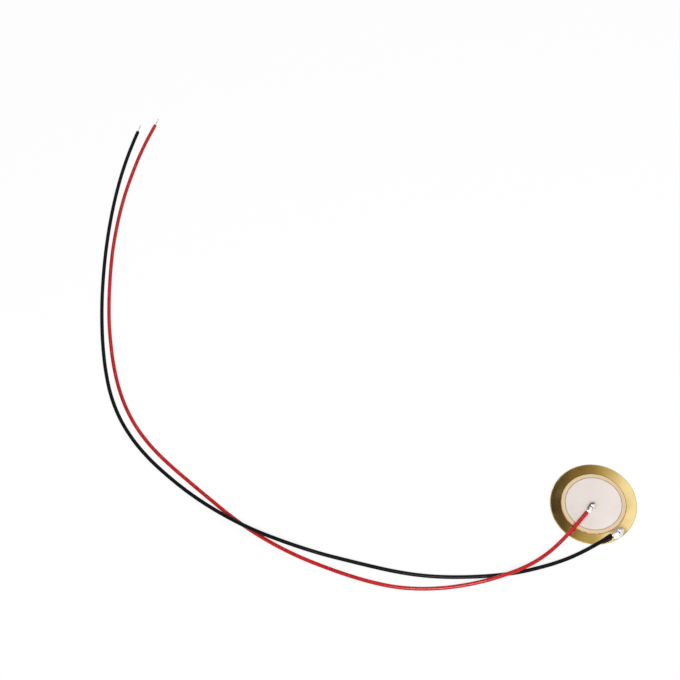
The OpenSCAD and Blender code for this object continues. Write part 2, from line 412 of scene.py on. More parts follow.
@dataclass(frozen=True)
class Finish:
    """What every finish has: its name, and how its Principled shader starts."""

    name: str
    effects: Effects

    def start(self, **values: object) -> tuple[Graph, Node, Material]:
        """Makes the material and sets what is the same all over it.

        Args:
            values: The shader's own socket values, with _ for a space.

        Returns:
            The graph, its Principled shader and the material.
        """
        material = bpy.data.materials.new(self.name)
        material.use_nodes = True
        graph = Graph(material.node_tree)
        shader = material.node_tree.nodes["Principled BSDF"]
        for label, value in values.items():
            graph.put(value, shader.inputs[label.replace("_", " ")])
        return graph, shader, material

    @staticmethod
    def bump(graph: Graph, shader: Node, height: object, strength: float, depth: float) -> None:
        """Lets a height turn the shader's normal.

        Args:
            graph: The material's graph.
            shader: Its Principled shader.
            height: The height, in shares of the depth.
            strength: How much of it shows.
            depth: The depth, in metres.
        """
        inputs = {"Strength": strength, "Distance": depth, "Height": height}
        node = graph.add("ShaderNodeBump", inputs)
        graph.put(node.outputs["Normal"], shader.inputs["Normal"])


@dataclass(frozen=True)
class Brass(Finish):
    """Thin rolled brass: fine grain, some tarnish, a dark ring of squeezed-out epoxy with painted
    shade round the ceramic, and heat stain by the solder.
    """

    ceramic_r: float
    plate_r: float
    plate_t: float
    joint: Point
    bright: Colour = (0.95, 0.76, 0.37)
    deep: Colour = (0.84, 0.60, 0.24)
    tarnish: Colour = (0.50, 0.32, 0.10)
    heated: Colour = (0.36, 0.19, 0.06)
    # Colour of the ring round the ceramic: squeezed-out epoxy, and painted shade where the ceramic
    # stands on the plate
    epoxy: Colour = (0.40, 0.22, 0.06)

    def material(self) -> Material:
        """Builds the material, with stain and the dark ring round the ceramic on the plate's upper
        side only.

        Returns:
            The material.
        """
        graph, shader, material = self.start(Metallic=1.0)
        point, effects = graph.place(), self.effects
        grain = graph.group(effects.grain, Point=point, Stretch=(1.0, 0.015, 1.0), Lines=11000.0)
        patches = graph.group(effects.clouds, Point=point, Scale=160.0, From=0.42, To=0.72)
        stain = graph.group(
            effects.halo, Point=point, Centre=self.joint, Full=0.0018, Reach=0.0034, Ragged=0.0016
        )
        # Ring round the ceramic's foot: partly squeezed-out epoxy, partly painted shade where the
        # ceramic meets the plate
        bleed_and_shade = graph.group(
            effects.ring, Point=point, Radius=self.ceramic_r + 0.0001, Width=0.00032, Ragged=0.0002
        )
        rolled = graph.group(
            effects.ring, Point=point, Radius=self.plate_r, Width=0.00034, Ragged=0.00006
        )
        height = graph.add("ShaderNodeSeparateXYZ", {0: point}).outputs["Z"]
        upper = graph.span(height, self.plate_t * 0.5, self.plate_t * 0.9)
        stain = graph.math("MULTIPLY", stain, upper)
        bleed_and_shade = graph.math("MULTIPLY", bleed_and_shade, upper)
        colour = graph.veil(self.bright, self.deep, grain, most=0.24)
        colour = graph.veil(colour, self.tarnish, patches, most=0.16)
        colour = graph.veil(colour, self.heated, stain, most=0.6)
        # Paints the ring round the ceramic: epoxy colour and painted shade
        colour = graph.veil(colour, self.epoxy, bleed_and_shade, most=0.8)
        colour = graph.veil(colour, self.tarnish, rolled, most=0.6)
        graph.put(colour, shader.inputs["Base Color"])
        rough = graph.total(
            graph.scale(grain, 0.07, 0.12),
            graph.scale(patches, 0.0, 0.06),
            graph.scale(stain, 0.0, 0.12),
            graph.scale(rolled, 0.0, 0.3),
        )
        graph.put(rough, shader.inputs["Roughness"])
        bend = graph.group(effects.bend, Point=point, Across=BENT_ACROSS)
        lines = graph.math("MULTIPLY", grain, 0.00045)
        self.bump(graph, shader, graph.total(bend, lines), strength=1.0, depth=MM)
        return material


@dataclass(frozen=True)
class Silver(Finish):
    """Fired silver paste: pale, satin and faintly cloudy, greyed along its printed edge."""

    edge_r: float
    joint: Point
    face: Colour = (0.91, 0.84, 0.805)
    cloud: Colour = (0.79, 0.715, 0.685)
    edge: Colour = (0.15, 0.115, 0.095)
    flux: Colour = (0.78, 0.68, 0.52)

    def material(self) -> Material:
        """Builds the material.

        Returns:
            The material.
        """
        graph, shader, material = self.start(Metallic=0.6)
        point, effects = graph.place(), self.effects
        greyed = graph.group(
            effects.ring, Point=point, Radius=self.edge_r - 0.00008, Width=0.00022, Ragged=0.00006
        )
        patches = graph.group(effects.clouds, Point=point, Scale=200.0, From=0.35, To=0.75)
        specks = graph.group(effects.specks, Point=point, Scale=900.0, Size=0.14)
        stain = graph.group(
            effects.halo, Point=point, Centre=self.joint, Full=0.0016, Reach=0.0030, Ragged=0.0014
        )
        colour = graph.veil(self.face, self.cloud, patches, most=0.5)
        colour = graph.veil(colour, self.flux, stain, most=0.3)
        colour = graph.veil(colour, self.edge, specks, most=0.2)
        colour = graph.veil(colour, self.edge, greyed, most=0.95)
        graph.put(colour, shader.inputs["Base Color"])
        graph.put(graph.scale(patches, 0.30, 0.42), shader.inputs["Roughness"])
        bend = graph.group(effects.bend, Point=point, Across=BENT_ACROSS)
        paste = graph.math("MULTIPLY", graph.noise(point, 14000.0), 0.0035)
        self.bump(graph, shader, graph.total(bend, paste), strength=1.0, depth=MM)
        return material


@dataclass(frozen=True)
class Ceramic(Finish):
    """Fired piezo ceramic: matte beige with darker grains and paler patches."""

    face: Colour = (0.74, 0.55, 0.32)
    grain: Colour = (0.56, 0.41, 0.24)
    pale: Colour = (0.76, 0.63, 0.48)

    def material(self) -> Material:
        """Builds the material.

        Returns:
            The material.
        """
        graph, shader, material = self.start(Roughness=0.55)
        point, effects = graph.place(), self.effects
        fine = graph.group(effects.clouds, Point=point, Scale=4200.0, From=0.4, To=0.7)
        patches = graph.group(effects.clouds, Point=point, Scale=500.0, From=0.4, To=0.7)
        colour = graph.veil(self.face, self.grain, fine, most=0.4)
        colour = graph.veil(colour, self.pale, patches, most=0.3)
        graph.put(colour, shader.inputs["Base Color"])
        self.bump(graph, shader, fine, strength=0.3, depth=0.00001)
        return material


@dataclass(frozen=True)
class Adhesive(Finish):
    """A thin line of amber epoxy squeezed out round the ceramic."""

    thin: Colour = (0.50, 0.31, 0.12)
    thick: Colour = (0.26, 0.13, 0.04)

    def material(self) -> Material:
        """Builds the material.

        Returns:
            The material.
        """
        graph, shader, material = self.start(Roughness=0.3)
        point = graph.place()
        patches = graph.group(self.effects.clouds, Point=point, Scale=700.0, From=0.35, To=0.65)
        graph.put(graph.mix(patches, self.thin, self.thick), shader.inputs["Base Color"])
        self.bump(graph, shader, patches, strength=0.4, depth=0.00003)
        return material


@dataclass(frozen=True)
class Solder(Finish):
    """Tin solder: smooth and shiny or satin, duller in patches, with burnt flux in its dimples."""

    bright: Colour = (0.92, 0.90, 0.92)
    dull: Colour = (0.74, 0.73, 0.76)
    burnt: Colour = (0.07, 0.055, 0.05)
    metal: float = 1.0
    shiny: float = 0.12
    satin: float = 0.24
    dimples: Route = ()

    def material(self) -> Material:
        """Builds the material.

        Returns:
            The material.
        """
        graph, shader, material = self.start(Metallic=self.metal)
        point, effects = graph.place(), self.effects
        patches = graph.group(effects.clouds, Point=point, Scale=900.0, From=0.45, To=0.72)
        colour = graph.veil(self.bright, self.dull, patches, most=0.5)
        for dimple in self.dimples:
            flux = graph.group(
                effects.halo, Point=point, Centre=dimple, Full=0.0002, Reach=0.00045, Ragged=0.0003
            )
            colour = graph.veil(colour, self.burnt, flux, most=0.95)
        graph.put(colour, shader.inputs["Base Color"])
        graph.put(graph.scale(patches, self.shiny, self.satin), shader.inputs["Roughness"])
        self.bump(graph, shader, graph.noise(point, 1300.0), strength=0.25, depth=0.00005)
        return material


@dataclass(frozen=True)
class TinnedCopper(Finish):
    """Copper strands under a thin coat of tin, warm where the coat is thin."""

    tin: Colour = (0.72, 0.70, 0.68)
    thin_coat: Colour = (0.64, 0.48, 0.36)

    def material(self) -> Material:
        """Builds the material.

        Returns:
            The material.
        """
        graph, shader, material = self.start(Metallic=1.0)
        point = graph.place()
        patches = graph.group(self.effects.clouds, Point=point, Scale=2400.0, From=0.5, To=0.72)
        colour = graph.veil(self.tin, self.thin_coat, patches, most=0.45)
        graph.put(colour, shader.inputs["Base Color"])
        graph.put(graph.scale(patches, 0.26, 0.4), shader.inputs["Roughness"])
        self.bump(graph, shader, graph.noise(point, 9000.0), strength=0.3, depth=0.00002)
        return material


@dataclass(frozen=True)
class Insulation(Finish):
    """Extruded PVC: satin, a little uneven along its length, with faint dust and rubs."""

    colour: Colour
    shade: Colour
    rub: Colour
    gloss: float
    shine: float

    def material(self) -> Material:
        """Builds the material.

        Returns:
            The material.
        """
        graph, shader, material = self.start(Specular_IOR_Level=self.shine)
        point, effects = graph.place(), self.effects
        slow = graph.group(effects.clouds, Point=point, Scale=60.0, From=0.4, To=0.65)
        rubs = graph.group(effects.clouds, Point=point, Scale=1900.0, From=0.6, To=0.78)
        colour = graph.veil(self.colour, self.shade, slow, most=0.5)
        colour = graph.veil(colour, self.rub, rubs, most=0.25)
        graph.put(colour, shader.inputs["Base Color"])
        graph.put(graph.scale(rubs, self.gloss, self.gloss + 0.14), shader.inputs["Roughness"])
        uneven = graph.noise(point, 700.0, detail=3.0)
        self.bump(graph, shader, uneven, strength=0.25, depth=0.00006)
        return material


def dress(piece: Object, material: Material) -> None:
    """Gives a piece its one material.

    Args:
        piece: A new piece or a CAD node's object.
        material: The finish.
    """
    piece.data.materials.clear()
    piece.data.materials.append(material)


# ---- Meshes ----


def in_scene(name: str, data: bpy.types.ID) -> Object:
    """Makes an object and puts it in the scene.

    Args:
        name: The object's name.
        data: Its mesh, curve, camera or lamp.

    Returns:
        The object.
    """
    made = bpy.data.objects.new(name, data)
    bpy.context.scene.collection.objects.link(made)
    return made


def riding(name: str, mesh: Mesh) -> Object:
    """Makes a piece that rides on the part's one body.

    Args:
        name: The piece's name.
        mesh: Its mesh, in the shared frame.

    Returns:
        The piece.
    """
    piece = in_scene(name, mesh)
    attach(piece, BODY)
    return piece


def finished_mesh(name: str, bm: BMesh, where: Matrix) -> Object:
    """Turns a form modelled in millimetres into a smooth piece in the shared frame.

    Args:
        name: The new piece's name.
        bm: The form, which is used up.
        where: Its place, in metres.

    Returns:
        The piece, riding on the part's one body.
    """
    bmesh.ops.remove_doubles(bm, verts=bm.verts, dist=1e-5)
    bmesh.ops.recalc_face_normals(bm, faces=bm.faces)
    bmesh.ops.transform(bm, matrix=where @ Matrix.Scale(MM, 4), verts=bm.verts)
    mesh = bpy.data.meshes.new(name)
    bm.to_mesh(mesh)
    bm.free()
    mesh.shade_smooth()
    return riding(name, mesh)


def fused(bm: BMesh, voxel: float, smoothings: int) -> BMesh:
    """Melts overlapping closed forms into one smooth skin.

    Args:
        bm: The forms, in millimetres, which are used up.
        voxel: Size of the new skin's faces, in millimetres.
        smoothings: How often each point moves halfway to its neighbours.

    Returns:
        The one closed skin.
    """
    mesh = bpy.data.meshes.new("melt")
    bm.to_mesh(mesh)
    bm.free()
    body = in_scene("melt", mesh)
    remesh = body.modifiers.new("melt", "REMESH")
    remesh.mode = "VOXEL"
    remesh.voxel_size = voxel
    bpy.context.view_layer.update()
    melted = body.evaluated_get(bpy.context.evaluated_depsgraph_get())
    skin = bmesh.new()
    skin.from_mesh(melted.to_mesh())
    melted.to_mesh_clear()
    bpy.data.objects.remove(body)
    bpy.data.meshes.remove(mesh)
    for _ in range(smoothings):
        bmesh.ops.smooth_vert(
            skin, verts=skin.verts, factor=0.5, use_axis_x=True, use_axis_y=True, use_axis_z=True
        )
    return skin


def lathed(profile: Sequence[Point], axis: Point, steps: int) -> BMesh:
    """Spins a line of points once round an axis through the origin.

    Args:
        profile: The points, in millimetres.
        axis: The axis's direction.
        steps: Faces round it.

    Returns:
        The turned form.
    """
    bm = bmesh.new()
    verts = [bmesh.ops.create_vert(bm, co=point)["vert"][0] for point in profile]
    for near, far in zip(verts[:-1], verts[1:]):
        bm.edges.new((near, far))
    bmesh.ops.spin(
        bm,
        geom=bm.verts[:] + bm.edges[:],
        cent=(0, 0, 0),
        axis=axis,
        angle=math.tau,
        steps=steps,
        use_merge=True,
        use_duplicate=False,
    )
    return bm


def along_x(turn: float, at: Vector) -> Matrix:
    """Returns the place whose +X points at a heading, in radians, from a point in metres."""
    return Matrix.Translation(at) @ Matrix.Rotation(turn, 4, "Z")


def heading(near: Vector, far: Vector) -> float:
    """Returns the direction from one point to another, seen from above, in radians."""
    return math.atan2(far.y - near.y, far.x - near.x)


# ---- Leads ----


@dataclass
class Lead:
    """One free lead: PVC over seven strands, soldered at one end and tinned at the other.

    Its route, length, floor and diameter are in metres, and its other sizes in millimetres.
    """

    name: str
    route: Route
    nodes: tuple[str, str, str]
    length: float
    jacket: Material
    metal: Material
    slot: Slot
    swell: float
    floor: float
    reach: float
    diameter: float = 0.0012
    strand_d: float = 0.13
    lay: float = 5.0
    tip_l: float = 3.0
    tip_r: float = 0.18
    tip_cover: float = 0.12
    tip_round: float = 0.1
    strand_l: float = 3.5
    twist_step: float = 0.12
    rim_l: float = 0.12
    end_l: float = 0.5
    swell_l: float = 3.4

    @property
    def axis(self) -> list[Vector]:
        """The lead's axis, half a diameter above its underside."""
        return [Vector((x, y, z + self.diameter / 2)) for x, y, z in self.route]

    @property
    def start(self) -> Matrix:
        """The place of the lead's first point, with +X pointing at its joint."""
        return along_x(self.start_heading + math.pi, self.axis[0])

    @property
    def start_heading(self) -> float:
        """The direction in which the lead leaves its joint, in radians."""
        return heading(*self.axis[:2])

    @property
    def end(self) -> Matrix:
        """The place of the lead's last point, with +X pointing out of it."""
        return along_x(heading(*self.axis[-2:]), self.axis[-1])

    def line(self) -> Curve:
        """Makes the lead's smooth line through its route.

        Returns:
            The curve, with its thickness and flat ends.
        """
        data = bpy.data.curves.new(self.name, "CURVE")
        data.dimensions = "3D"
        data.bevel_depth = self.diameter / 2
        data.bevel_resolution = 10
        data.resolution_u = 8
        data.use_fill_caps = True
        spline = data.splines.new("BEZIER")
        points = self.axis
        spline.bezier_points.add(len(points) - 1)
        for i, (knot, point) in enumerate(zip(spline.bezier_points, points)):
            before = points[max(i - 1, 0)]
            after = points[min(i + 1, len(points) - 1)]
            reach = (after - before) / 6
            knot.handle_left_type = knot.handle_right_type = "FREE"
            knot.co = point
            knot.handle_left = self.above_surface(point - reach)
            knot.handle_right = self.above_surface(point + reach)
        return data

    def above_surface(self, point: Vector) -> Vector:
        """Returns a point no lower than where the lead lies on the surface."""
        return Vector((point.x, point.y, max(point.z, self.diameter / 2)))

    def centreline(self, line: Curve) -> list[Point]:
        """Follows the lead's smooth line.

        Args:
            line: The smooth line.

        Returns:
            Points along it, close together.
        """
        knots = line.splines[0].bezier_points
        steps = line.resolution_u + 1
        points = [tuple(knots[0].co)]
        for near, far in zip(knots[:-1], knots[1:]):
            span = interpolate_bezier(near.co, near.handle_right, far.handle_left, far.co, steps)
            points += [tuple(point) for point in span[1:]]
        return points

    def tube(self, line: Curve) -> Object:
        """Turns the lead's line into a round tube.

        Args:
            line: The smooth line, with its thickness.

        Returns:
            The tube.
        """
        swept = in_scene("swept", line)
        bpy.context.view_layer.update()
        drawn = swept.evaluated_get(bpy.context.evaluated_depsgraph_get())
        mesh = bpy.data.meshes.new_from_object(drawn)
        mesh.name = self.name
        bpy.data.objects.remove(swept)
        return riding(self.name, mesh)

    def twisted(self, length: float) -> BMesh:
        """Sweeps seven strands along +X with their twist, one in the middle.

        Args:
            length: How far, in millimetres.

        Returns:
            The closed strands.
        """
        bm = bmesh.new()
        ring = [(self.strand_d * 0.97, i * math.tau / 6) for i in range(6)]
        for away, angle in [(0.0, 0.0), *ring]:
            centre = Matrix.Rotation(angle, 4, "X") @ Matrix.Translation((0, away, 0))
            bmesh.ops.create_circle(
                bm, cap_ends=True, radius=self.strand_d / 2, segments=12, matrix=centre @ Z_TO_X
            )
        steps = max(6, round(length / self.twist_step))
        bmesh.ops.spin(
            bm,
            geom=bm.faces[:],
            cent=(0, 0, 0),
            axis=(1, 0, 0),
            dvec=(length / steps, 0, 0),
            angle=math.tau * length / self.lay,
            steps=steps,
            use_duplicate=False,
        )
        return bm

    def strands(self) -> Object:
        """Makes the bare strands that run into the joint."""
        return finished_mesh(f"{self.name}_strands", self.twisted(self.strand_l), self.start)

    def tip(self) -> Object:
        """Makes the free end: strands under tin, drawn to a rounded point.

        Returns:
            The tip.
        """
        core_l = self.tip_l - self.tip_round
        bm = self.twisted(self.tip_l - self.tip_cover)
        bmesh.ops.create_cone(
            bm,
            cap_ends=True,
            segments=24,
            radius1=self.tip_r * 0.88,
            radius2=self.tip_r * 0.8,
            depth=core_l,
            matrix=Matrix.Translation((core_l / 2, 0, 0)) @ Z_TO_X,
        )
        bmesh.ops.create_uvsphere(
            bm,
            u_segments=20,
            v_segments=12,
            radius=self.tip_r * 0.97,
            matrix=Matrix.Translation((self.tip_l - self.tip_r, 0, 0)),
        )
        bm = fused(bm, voxel=0.03, smoothings=3)
        return finished_mesh(f"{self.name}_tip", bm, self.end)

    def cut_end(self, name: str, where: Matrix, swell: float, floor: float) -> Object:
        """Makes the end of the insulation: its rounded rim, and the swelling that soldering leaves.

        Args:
            name: The end's name.
            where: The lead's end, with +X pointing out of it.
            swell: How much wider the insulation gets, as a share of its radius.
            floor: Height of the face under the end, which the swelling doesn't enter, in metres.

        Returns:
            The end.
        """
        outer = self.diameter / MM / 2
        wide = outer * (1 + swell)
        start = -self.end_l - self.swell_l * min(swell * 4, 1)
        profile = [(start, outer * 0.975)]
        for step in range(1, 9):
            share = step / 9
            eased = share * share * (3 - 2 * share)
            along = start * (1 - share) - self.rim_l * share
            profile.append((along, outer * 1.001 + (wide - outer) * eased))
        profile += [
            (-self.rim_l, wide),
            (-0.03, wide * 0.965),
            (0.03, wide * 0.88),
            (0.04, wide * 0.74),
            (0.0, wide * 0.55),
            (-0.1, 0.26),
            (-0.35, 0.2),
        ]
        bm = lathed([(x, r, 0) for x, r in profile], axis=(1, 0, 0), steps=48)
        bmesh.ops.holes_fill(bm, edges=[edge for edge in bm.edges if edge.is_boundary], sides=0)
        lowest = floor / MM - where.translation.z / MM
        for vert in bm.verts:
            lift = noise.noise((vert.co.x * 1.7, vert.co.y, vert.co.z)) * 0.08 * swell
            vert.co += Vector((0, vert.co.y, vert.co.z)) * lift
            vert.co.z = max(vert.co.z, lowest)
        return finished_mesh(name, bm, where)

    def build(self) -> list[Object]:
        """Makes and dresses the whole lead.

        Returns:
            Its pieces.
        """
        line = self.line()
        tube = self.tube(line)
        strands = self.strands()
        tip = self.tip()
        at_joint = self.start @ Matrix.Translation((self.reach * MM, 0, 0))
        near = self.cut_end(f"{self.name}_near_rim", at_joint, self.swell, self.floor)
        far = self.cut_end(f"{self.name}_far_rim", self.end, 0.0, 0.0)
        for piece in (tube, near, far):
            dress(piece, self.jacket)
        for piece in (strands, tip):
            dress(piece, self.metal)
        for piece, node in zip((tube, strands, tip), self.nodes):
            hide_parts(node)
        self.centreline(line)
        return [tube, strands, tip, near, far]


# ---- Solder joints ----


@dataclass
class SolderJoint:
    """A drop of solder wetted onto a face, with its lead's strands run into it.

    Its place is in metres, with +X pointing at the lead. Its sizes are in millimetres, a dimple's
    depth is a share of its width, and ragged is a share of the foot's radius.
    """

    name: str
    node: str
    lead: Lead
    material: Material
    place: Matrix
    nose: float
    back: float
    seed: float
    half_width: float = 1.35
    height: float = 1.2
    bluntness: float = 0.75
    dimples: Route = ()
    dimple_depth: float = 0.4
    lump: float = 0.07
    lumps_per_mm: float = 0.8
    wrinkle: float = 0.012
    wrinkles_per_mm: float = 2.2
    ragged: float = 0.09
    neck_gap: float = 0.06
    neck_near: float = 0.29
    neck_far: float = 0.48
    neck_squash: float = 0.68

    def stretch(self, vert: bmesh.types.BMVert, share: float = 1.0) -> None:
        """Stretches a point of a form of radius 1 to the joint's outline, or a share of it."""
        vert.co.x *= (self.nose if vert.co.x > 0 else self.back) * share
        vert.co.y *= self.half_width * share

    def drop(self, bm: BMesh) -> None:
        """Adds the round dome and its thin wetted foot.

        Args:
            bm: The joint's forms.
        """
        dome = bmesh.ops.create_uvsphere(bm, u_segments=48, v_segments=24, radius=1.0)["verts"]
        for vert in dome:
            if vert.co.x > 0:
                vert.co.x **= self.bluntness
            self.stretch(vert)
            vert.co.z *= self.height
        foot = bmesh.ops.create_cone(
            bm, cap_ends=True, segments=72, radius1=0.96, radius2=0.82, depth=0.16
        )["verts"]
        for vert in foot:
            angle = math.atan2(vert.co.y, vert.co.x)
            wave = noise.noise((math.cos(angle) * 2, math.sin(angle) * 2, self.seed))
            self.stretch(vert, 1 + self.ragged * wave)

    def neck(self, bm: BMesh) -> None:
        """Adds the solder that climbs along the strands towards the insulation.

        Args:
            bm: The joint's forms.
        """
        start = self.lead.reach + self.neck_gap
        apart = self.place.translation.xy - self.lead.axis[0].xy
        length = apart.length / MM - start
        from_lead = Matrix.Scale(1 / MM, 4) @ self.place.inverted() @ self.lead.start
        bmesh.ops.create_cone(
            bm,
            cap_ends=True,
            segments=32,
            radius1=self.neck_near,
            radius2=self.neck_far,
            depth=length,
            matrix=from_lead
            @ Matrix.Scale(MM, 4)
            @ Matrix.Translation((start + length / 2, 0, 0))
            @ Z_TO_X
            @ Matrix.Diagonal((self.neck_squash, 1, 1, 1)),
        )

    def pressed(self, point: Vector) -> float:
        """Returns how deep the dimples press a point in, in millimetres."""
        return sum(
            max(0.0, 1 - (math.dist(point.xy, (x, y)) / wide) ** 2) ** 2 * wide * self.dimple_depth
            for x, y, wide in self.dimples
        )

    def build(self) -> Object:
        """Makes and dresses the joint.

        Returns:
            The one piece of solder.
        """
        bm = bmesh.new()
        self.drop(bm)
        self.neck(bm)
        bm = fused(bm, voxel=0.05, smoothings=14)
        for vert in bm.verts:
            broad = vert.co * self.lumps_per_mm + Vector((self.seed, 0, 0))
            fine = vert.co * self.wrinkles_per_mm + Vector((0, self.seed, 0))
            raised = noise.noise(broad) * self.lump + noise.noise(fine) * self.wrinkle
            vert.co += vert.normal * (raised - self.pressed(vert.co))
            vert.co.z = max(vert.co.z, 0.0)
        piece = finished_mesh(self.name, bm, self.place)
        dress(piece, self.material)
        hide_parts(self.node)
        return piece


# ---- The disc ----


@dataclass
class BondLine:
    """The film of adhesive under the ceramic, with the thin fillet squeezed out round it.

    Its radii, height and film are in metres. Its climb is how far up the ceramic the fillet goes,
    as a share of the fillet's width.
    """

    ceramic_r: float
    outer_r: float
    low: float
    film: float = 0.00002
    climb: float = 0.97
    steps: int = 10

    def build(self, material: Material) -> Object:
        """Makes and dresses the film.

        Args:
            material: The adhesive.

        Returns:
            The one closed piece.
        """
        ceramic_r, outer_r, film = self.ceramic_r / MM, self.outer_r / MM, self.film / MM
        fillet = (self.outer_r - self.ceramic_r) / MM
        profile = [(0.0, 0.0), (outer_r, 0.0)]
        for step in range(1, self.steps):
            turn = math.pi / 2 * step / self.steps
            profile.append((outer_r - fillet * math.sin(turn), fillet * (1 - math.cos(turn))))
        profile += [(ceramic_r, fillet * self.climb), (ceramic_r, film), (0.0, film)]
        bm = lathed([(r, 0, z) for r, z in profile], axis=(0, 0, 1), steps=144)
        piece = finished_mesh("bond_line", bm, Matrix.Translation((0, 0, self.low)))
        dress(piece, material)
        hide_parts("bond_film")
        return piece


@dataclass
class Disc:
    """The plate, the ceramic and its two silver faces, with the adhesive between them.

    The joints' feet are in metres.
    """

    effects: Effects
    centre_foot: Vector
    rim_foot: Vector

    def build(self) -> list[Object]:
        """Dresses the plate, the ceramic and the silver, and lays the bond line.

        Returns:
            The disc's pieces.
        """
        nodes, effects = frame["nodes"], self.effects
        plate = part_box("brass_plate")[1]
        ceramic_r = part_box("ceramic_disc")[1].x
        electrode_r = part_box("top_electrode")[1].x
        bond_low, bond_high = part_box("bond_film")
        brass = Brass("brass", effects, ceramic_r, plate.x, plate.z, tuple(self.rim_foot))
        silver = Silver("fired silver", effects, electrode_r, tuple(self.centre_foot)).material()
        adhesive = Adhesive("adhesive", effects).material()
        dress(nodes["brass_plate"], brass.material())
        bond = BondLine(ceramic_r, bond_high.x, bond_low.z).build(adhesive)
        dress(nodes["ceramic_disc"], Ceramic("ceramic", effects).material())
        dress(nodes["top_electrode"], silver)
        dress(nodes["bottom_electrode"], silver)
        kept = ("brass_plate", "ceramic_disc", "top_electrode", "bottom_electrode")
        return [bond, *(nodes[name] for name in kept)]


# ---- Studio ----


@dataclass(frozen=True)
class Lamp:
    """A square soft lamp: its place, side and aim in metres, and its power in watts."""

    name: str
    at: Point
    size: float
    watts: float
    aim: Point = (-0.06, 0.04, 0.0)

    def hang(self) -> None:
        """Hangs the lamp, turned to its aim at the middle of the leads."""
        data = bpy.data.lights.new(self.name, "AREA")
        data.shape = "SQUARE"
        data.size = self.size
        data.energy = self.watts
        lamp = in_scene(self.name, data)
        lamp.location = self.at
        down = Vector(self.aim) - Vector(self.at)
        lamp.rotation_euler = down.to_track_quat("-Z", "Y").to_euler()


